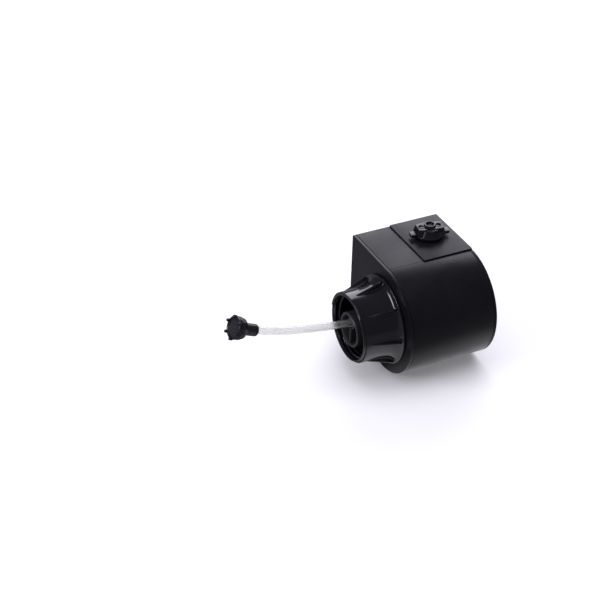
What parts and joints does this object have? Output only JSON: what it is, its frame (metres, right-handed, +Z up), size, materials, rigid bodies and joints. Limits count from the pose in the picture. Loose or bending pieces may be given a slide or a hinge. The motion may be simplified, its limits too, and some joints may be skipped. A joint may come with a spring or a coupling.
{
  "type": "motorised pump actuator head",
  "caption": "Motor-driven pump head with ribbed threaded container collar, curved suction tube with foot strainer, and a turnable winged outlet nozzle on a D-shaped housing.",
  "frame": {"origin": "centre of the flat rear face, on the axis of the threaded collar", "axes": "+Y out of the rear face, the collar and suction tube point to -Y; +Z up through the nozzle plate; +X towards the rounded side"},
  "size_m": [0.1065, 0.2211, 0.107],
  "materials": {
    "housing_satin_black": "satin moulded, fine spark texture",
    "collar_gloss_black": "gloss moulded",
    "nozzle_black": "semi-gloss moulded",
    "strainer_dark_grey": "satin moulded",
    "tube_milky": "translucent milky",
    "hose_clear": "translucent soft",
    "rubber_black": "matt",
    "acetal_natural": "off-white moulded",
    "steel_plated": "zinc plated",
    "cell_wrap": "printed-free shrink wrap",
    "nickel_contact": "nickel plated spring strip",
    "armature_copper": "enamelled winding",
    "board_green": "solder mask",
    "lead_red": "PVC insulation",
    "lead_black": "PVC insulation",
    "screen_steel": "woven mesh"
  },
  "bodies": {
    "housing": {"battery_cell_1": "cell_wrap", "battery_cell_2": "cell_wrap", "battery_cell_3": "cell_wrap", "battery_cell_4": "cell_wrap", "battery_tray": "housing_satin_black", "bracket_screw_1": "steel_plated", "bracket_screw_2": "steel_plated", "bracket_screw_3": "steel_plated", "circuit_board": "board_green", "contact_bridge_1": "nickel_contact", "contact_bridge_2": "nickel_contact", "contact_bridge_3": "nickel_contact", "contact_negative": "nickel_contact", "contact_positive": "nickel_contact", "drive_bracket": "steel_plated", "driven_rotor_pin": "steel_plated", "front_panel": "housing_satin_black", "inlet_hose": "hose_clear", "insert_nut": "housing_satin_black", "main_shell": "housing_satin_black", "motor_can": "steel_plated", "motor_end_cap": "lead_black", "motor_lead_1": "lead_red", "motor_lead_2": "lead_black", "neck_gasket": "rubber_black", "nozzle_nut": "housing_satin_black", "nozzle_o_ring": "rubber_black", "nozzle_plate": "housing_satin_black", "nozzle_stem": "nozzle_black", "outlet_hose": "hose_clear", "pickup_insert": "collar_gloss_black", "pump_body": "acetal_natural", "pump_cover": "acetal_natural", "pump_screw_1": "steel_plated", "pump_screw_2": "steel_plated", "rear_cover": "housing_satin_black", "rear_screw_1": "steel_plated", "rear_screw_2": "steel_plated", "rear_screw_3": "steel_plated", "rear_screw_4": "steel_plated", "shaft_seal": "rubber_black", "strainer_body": "strainer_dark_grey", "strainer_grille": "strainer_dark_grey", "strainer_screen": "screen_steel", "suction_tube": "tube_milky", "swirl_core": "acetal_natural", "tact_switch": "lead_black", "valve_seat": "acetal_natural"},
    "collar": {"collar": "collar_gloss_black"},
    "nozzle": {"nozzle_cap": "nozzle_black"},
    "pump_drive_train": {"drive_rotor": "acetal_natural", "pump_drive_shaft": "steel_plated", "reduction_gear": "acetal_natural"},
    "driven_rotor": {"driven_rotor": "acetal_natural"},
    "motor_rotor": {"motor_shaft": "steel_plated", "motor_armature": "armature_copper", "motor_pinion": "steel_plated"},
    "button": {"power_button": "nozzle_black"},
    "door": {"battery_door": "housing_satin_black"},
    "foot_ball": {"check_ball": "steel_plated"}
  },
  "joints": [
    {"name": "collar_swivel", "type": "hinge", "parent": "housing", "child": "collar", "pos_m": [0, -0.0803, 0], "axis": [0, 1, 0], "continuous": true},
    {"name": "nozzle_turn", "type": "hinge", "parent": "housing", "child": "nozzle", "pos_m": [-0.0303, -0.0235, 0.05], "axis": [0, 0, 1], "range_deg": [-90, 180]},
    {"name": "motor_spin", "type": "hinge", "parent": "housing", "child": "motor_rotor", "pos_m": [0.026, -0.0133, -0.006], "axis": [0, 1, 0], "continuous": true},
    {"name": "pump_drive", "type": "hinge", "parent": "housing", "child": "pump_drive_train", "pos_m": [0.004, -0.0274, -0.006], "axis": [0, 1, 0], "continuous": true},
    {"name": "driven_rotor_spin", "type": "hinge", "parent": "housing", "child": "driven_rotor", "pos_m": [0.004, -0.0274, 0.0041], "axis": [0, 1, 0], "continuous": true},
    {"name": "power_button_press", "type": "slide", "parent": "housing", "child": "button", "axis": [0, -1, 0], "range_m": [0, 0.0012]},
    {"name": "battery_door_release", "type": "slide", "parent": "housing", "child": "door", "axis": [0, 0, -1], "range_m": [0, 0.02]},
    {"name": "check_ball_lift", "type": "slide", "parent": "housing", "child": "foot_ball", "axis": [-0.0416, 0.9106, -0.4112], "range_m": [0, 0.0012]}
  ],
  "couplings": [
    {"joint": "pump_drive", "follows": "motor_spin", "ratio": -0.25},
    {"joint": "driven_rotor_spin", "follows": "motor_spin", "ratio": 0.25}
  ]
}
